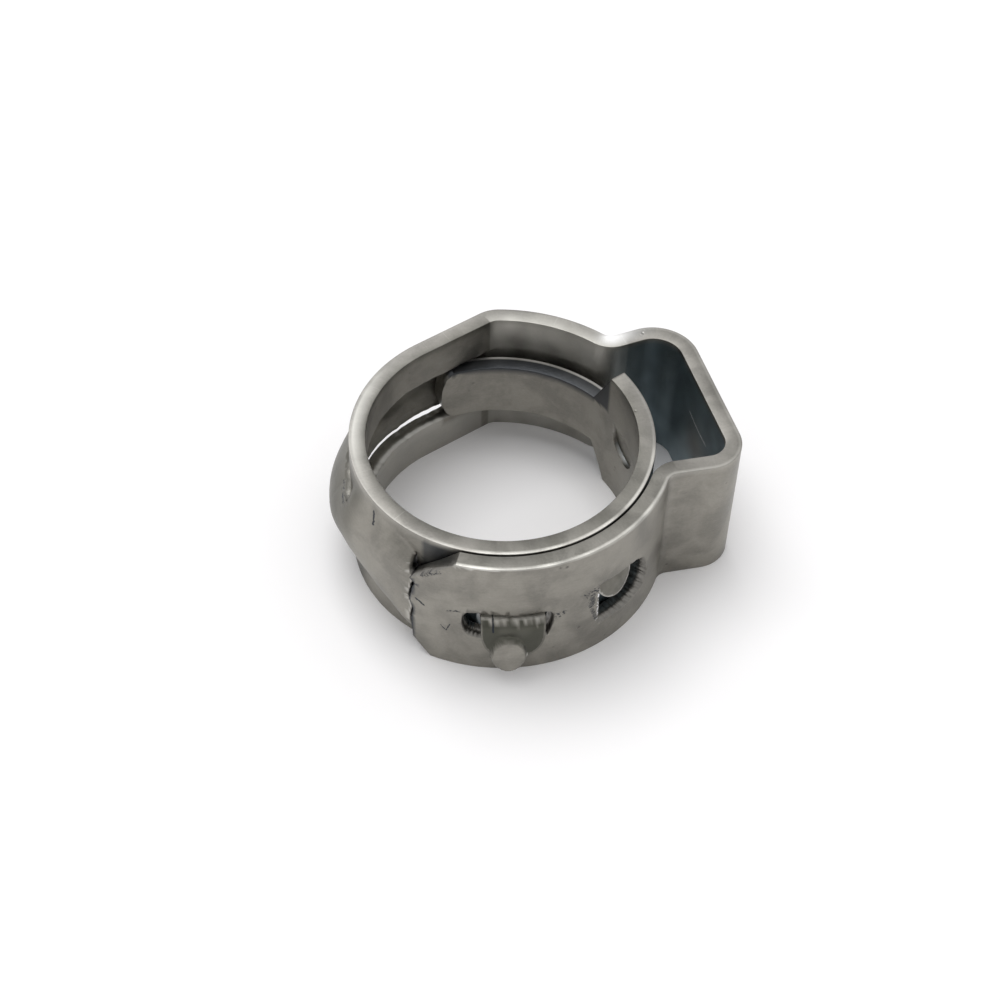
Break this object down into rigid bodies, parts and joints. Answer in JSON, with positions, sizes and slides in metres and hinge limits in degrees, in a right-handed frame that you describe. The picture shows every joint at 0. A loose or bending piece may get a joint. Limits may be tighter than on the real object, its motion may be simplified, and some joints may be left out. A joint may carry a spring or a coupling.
{
  "type": "ear hose clamp",
  "caption": "Ear hose clamp of stainless strip: a stepless ring with a pinch ear, a raised tunnel for the inner tongue, windows and lanced hooks.",
  "frame": {"origin": "centre of the bore, in the plane of the lower band edges that the clamp lies on", "axes": "+Z along the bore axis, +X out through the middle of the ear, +Y towards the side of the ear where the tongue runs under the band"},
  "size_m": [0.0181, 0.0162, 0.007],
  "materials": {
    "stainless_strip": "satin, lightly scuffed"
  },
  "bodies": {
    "root": {"clamp_band": "stainless_strip"}
  },
  "joints": []
}
